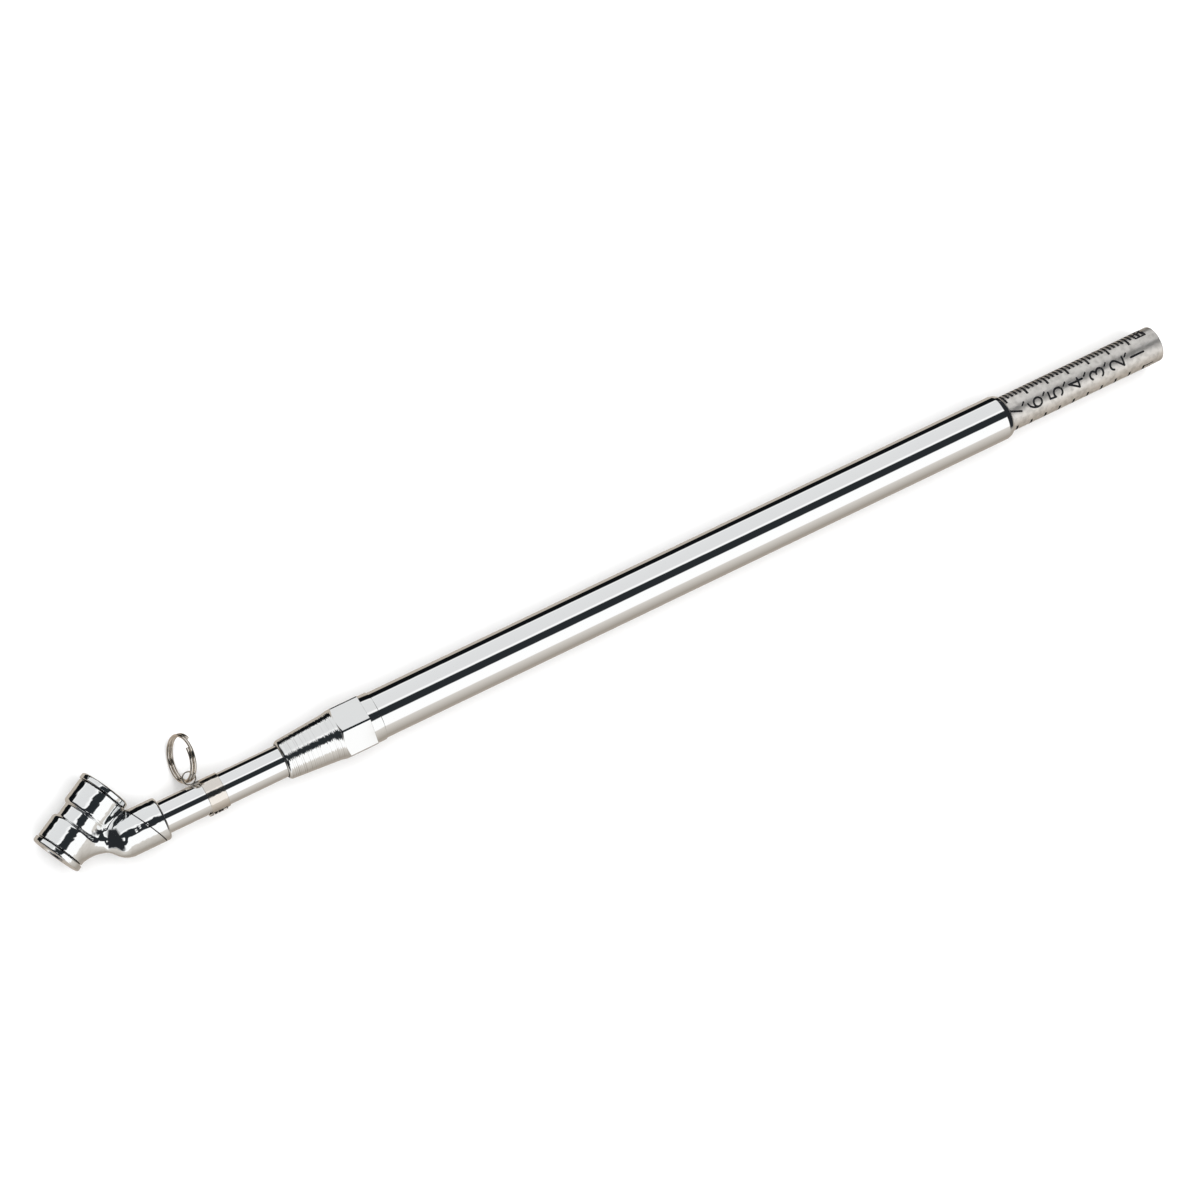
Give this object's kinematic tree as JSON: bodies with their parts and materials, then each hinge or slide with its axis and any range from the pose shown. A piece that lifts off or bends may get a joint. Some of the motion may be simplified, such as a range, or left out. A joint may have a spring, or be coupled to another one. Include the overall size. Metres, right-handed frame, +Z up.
{
  "type": "tire pressure gauge",
  "caption": "Stick-type truck tire pressure gauge: angled two-foot chuck, thin stem with key ring, hex nose, long barrel and a sliding scale tube.",
  "frame": {"origin": "middle of the gauge's bounding box, at the level of its lowest point", "axes": "+X along the barrel towards the indicator's tip, +Y to the side the head is bent to, +Z up as the gauge lies on a bench"},
  "size_m": [0.3564, 0.0272, 0.0162],
  "materials": {
    "tube_chrome": "mirror chrome plate on drawn tube",
    "turned_chrome": "mirror chrome plate over fine turning marks",
    "cast_chrome": "chrome plate on a die casting, slightly wavy",
    "nickel_strip": "bright nickel-plated sheet",
    "nickel_wire": "bright nickel-plated spring wire",
    "satin_scale": "satin aluminium with black stamped scale",
    "black_rubber": "black nitrile rubber",
    "fibre": "red vulcanised fibre",
    "brass": "machined brass",
    "spring_steel": "drawn steel wire and bar"
  },
  "bodies": {
    "gauge_body": {"barrel": "tube_chrome", "barrel_seal_ring": "black_rubber", "bump_washer": "black_rubber", "chuck_head": "cast_chrome", "front_core_pin": "brass", "front_seal_washer": "black_rubber", "front_seat_ring": "cast_chrome", "main_spring": "spring_steel", "nose_adaptor": "turned_chrome", "rear_core_pin": "brass", "rear_seal_washer": "black_rubber", "rear_seat_ring": "cast_chrome", "ring_clip": "nickel_strip", "rod_lock_nut": "spring_steel", "spring_rod": "spring_steel", "spring_stop_washer": "spring_steel", "stem_seal": "fibre", "stem_tube": "tube_chrome"},
    "indicator": {"indicator_tube": "satin_scale", "indicator_end_cap": "satin_scale", "tail_bush": "brass", "friction_ring": "spring_steel"},
    "piston_unit": {"piston": "brass", "piston_o_ring": "black_rubber", "cup_seal": "black_rubber", "cup_retainer": "brass"},
    "key_ring": {"split_ring": "nickel_wire"}
  },
  "joints": [
    {"name": "indicator_slide", "type": "slide", "parent": "gauge_body", "child": "indicator", "axis": [1, 0, 0], "range_m": [-0.0502, 0.026]},
    {"name": "piston_slide", "type": "slide", "parent": "gauge_body", "child": "piston_unit", "axis": [1, 0, 0], "range_m": [-0.0502, 0.026], "deforming": ["main_spring"]},
    {"name": "key_ring_swing", "type": "hinge", "parent": "gauge_body", "child": "key_ring", "pos_m": [-0.13429, 0.00017, 0.0081], "axis": [0, 0, 1], "range_deg": [-60, 75]}
  ],
  "couplings": [
    {"joint": "piston_slide", "follows": "indicator_slide", "ratio": 1}
  ]
}
